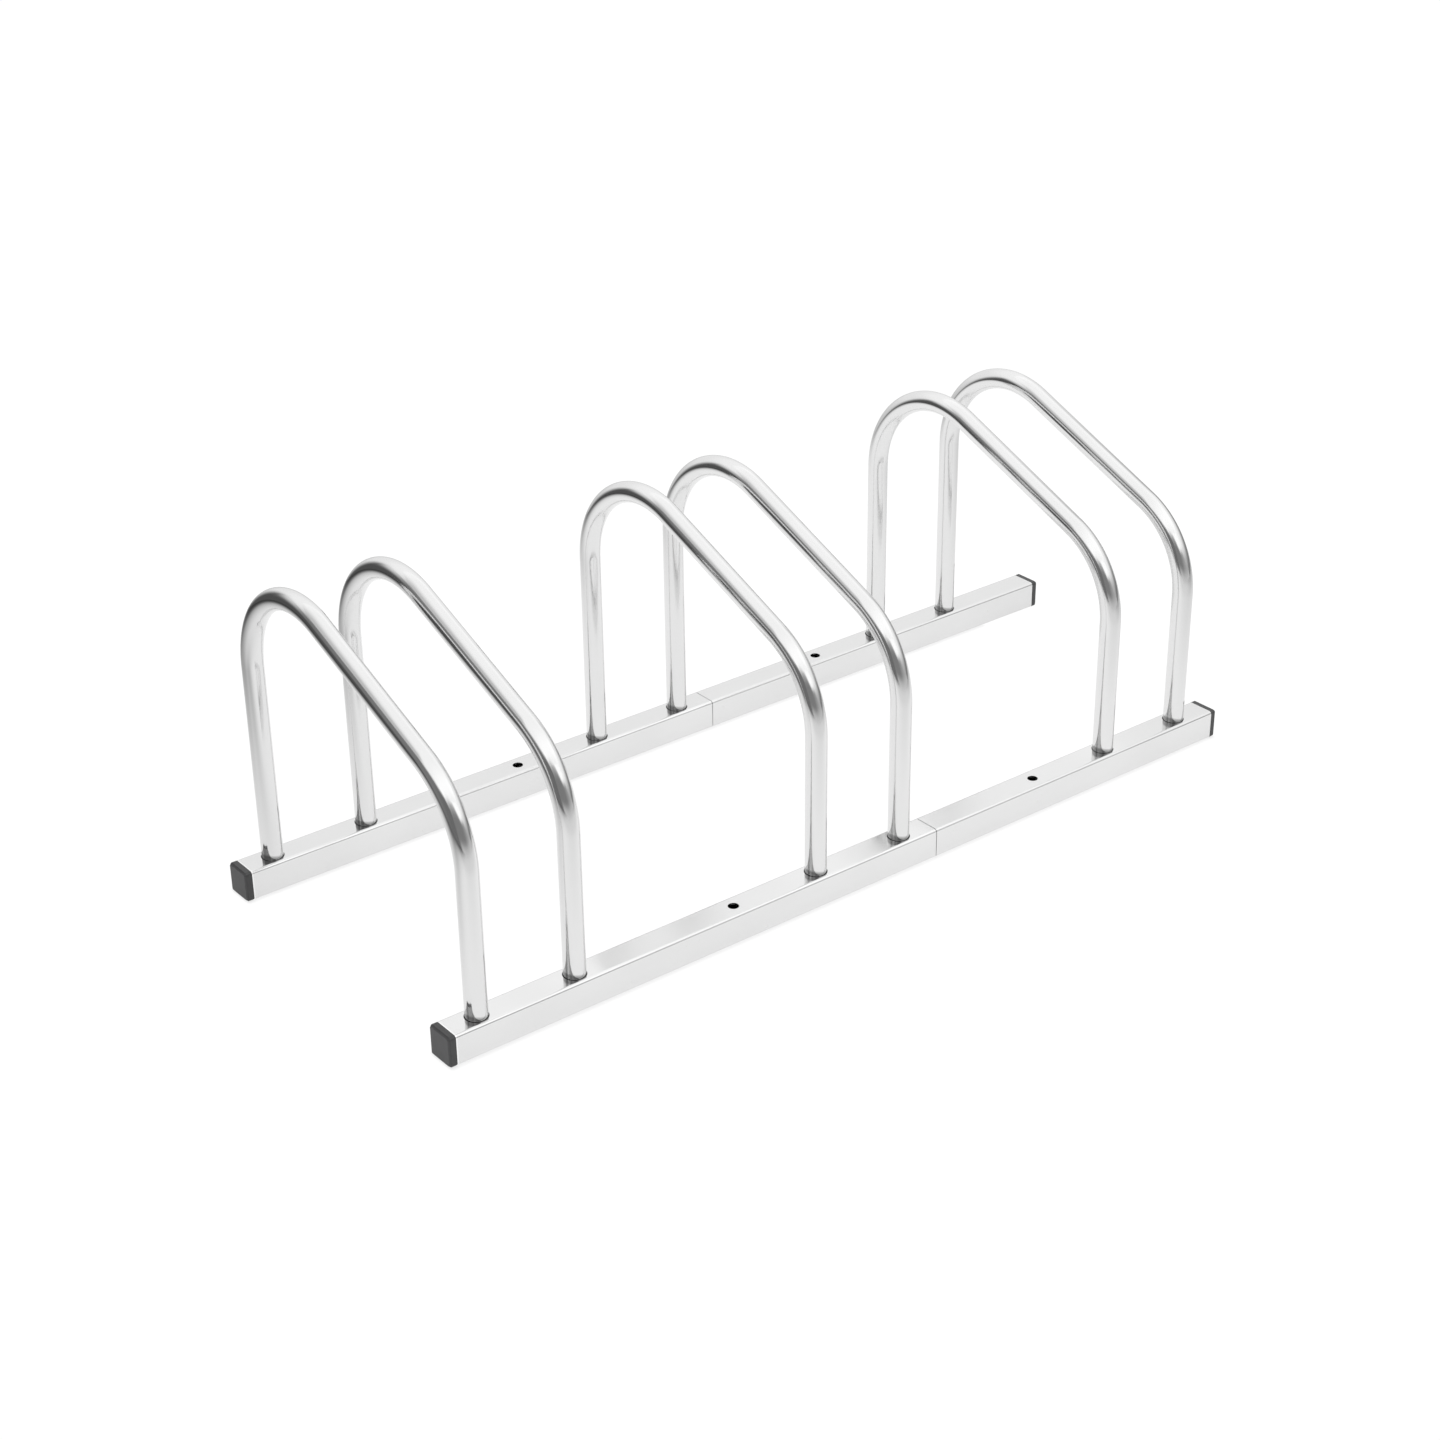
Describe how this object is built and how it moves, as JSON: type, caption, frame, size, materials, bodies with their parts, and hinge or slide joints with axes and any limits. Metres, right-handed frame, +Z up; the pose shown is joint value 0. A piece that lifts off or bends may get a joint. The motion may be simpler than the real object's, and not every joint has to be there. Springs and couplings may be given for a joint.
{
  "type": "floor bike rack",
  "caption": "Low floor rack for bicycles: bent tube hoops in pairs stand across two square-tube rails, and a front wheel goes between the hoops of a pair.",
  "frame": {"origin": "on the floor, at the centre of the rack's footprint", "axes": "+X along the rails from the near end that the picture shows to the far end, +Y from the front rail, under the hoops' low ends, to the back rail, +Z up"},
  "size_m": [0.84, 0.309, 0.2754],
  "materials": {
    "rail_steel": "bright plated square tube, fine draw lines",
    "hoop_steel": "bright plated round tube, polished",
    "joiner_steel": "plain zinc",
    "plug_steel": "plain zinc, turned",
    "screw_steel": "bright zinc",
    "cap_plastic": "moulded, fine texture"
  },
  "bodies": {
    "root": {"front_rail_long": "rail_steel", "front_rail_short": "rail_steel", "front_rail_joiner": "joiner_steel", "front_joiner_screw_1": "screw_steel", "front_joiner_screw_2": "screw_steel", "front_near_end_cap": "cap_plastic", "front_far_end_cap": "cap_plastic", "back_rail_long": "rail_steel", "back_rail_short": "rail_steel", "back_rail_joiner": "joiner_steel", "back_joiner_screw_1": "screw_steel", "back_joiner_screw_2": "screw_steel", "back_near_end_cap": "cap_plastic", "back_far_end_cap": "cap_plastic", "wheel_hoop_1": "hoop_steel", "hoop_1_front_threaded_plug": "plug_steel", "hoop_1_front_screw": "screw_steel", "hoop_1_back_threaded_plug": "plug_steel", "hoop_1_back_screw": "screw_steel", "wheel_hoop_2": "hoop_steel", "hoop_2_front_threaded_plug": "plug_steel", "hoop_2_front_screw": "screw_steel", "hoop_2_back_threaded_plug": "plug_steel", "hoop_2_back_screw": "screw_steel", "wheel_hoop_3": "hoop_steel", "hoop_3_front_threaded_plug": "plug_steel", "hoop_3_front_screw": "screw_steel", "hoop_3_back_threaded_plug": "plug_steel", "hoop_3_back_screw": "screw_steel", "wheel_hoop_4": "hoop_steel", "hoop_4_front_threaded_plug": "plug_steel", "hoop_4_front_screw": "screw_steel", "hoop_4_back_threaded_plug": "plug_steel", "hoop_4_back_screw": "screw_steel", "wheel_hoop_5": "hoop_steel", "hoop_5_front_threaded_plug": "plug_steel", "hoop_5_front_screw": "screw_steel", "hoop_5_back_threaded_plug": "plug_steel", "hoop_5_back_screw": "screw_steel", "wheel_hoop_6": "hoop_steel", "hoop_6_front_threaded_plug": "plug_steel", "hoop_6_front_screw": "screw_steel", "hoop_6_back_threaded_plug": "plug_steel", "hoop_6_back_screw": "screw_steel"}
  },
  "joints": []
}
